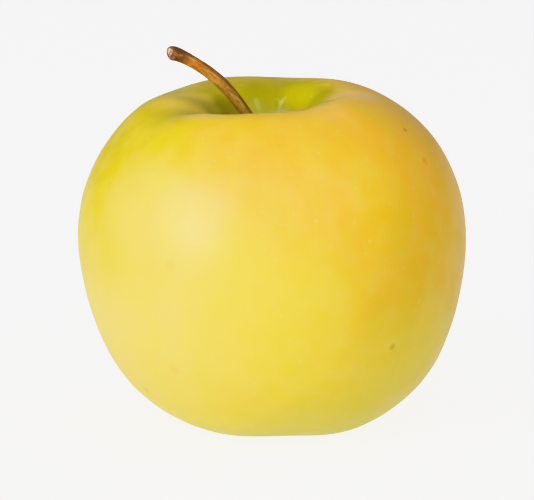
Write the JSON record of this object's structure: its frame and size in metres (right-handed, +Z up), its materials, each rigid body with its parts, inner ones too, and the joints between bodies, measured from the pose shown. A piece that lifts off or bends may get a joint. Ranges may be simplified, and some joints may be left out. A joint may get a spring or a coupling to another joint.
{
  "type": "apple",
  "caption": "Whole ripe yellow apple on its base, with a curved stem in the top dip and the dried flower remains in the basin underneath.",
  "frame": {"origin": "middle of the object's box, on the surface that the fruit stands on", "axes": "+Z up, through the stem dip; -Y is the front; the stem leans towards -X and a little to the front"},
  "size_m": [0.0797, 0.0764, 0.0779],
  "materials": {
    "skin": "satin",
    "bark": "matte",
    "husk": "matte",
    "thread": "matte"
  },
  "bodies": {
    "root": {"fruit": "skin", "stem": "bark", "sepal_1": "husk", "sepal_2": "husk", "sepal_3": "husk", "sepal_4": "husk", "sepal_5": "husk", "stamens": "thread", "styles": "thread"}
  },
  "joints": []
}
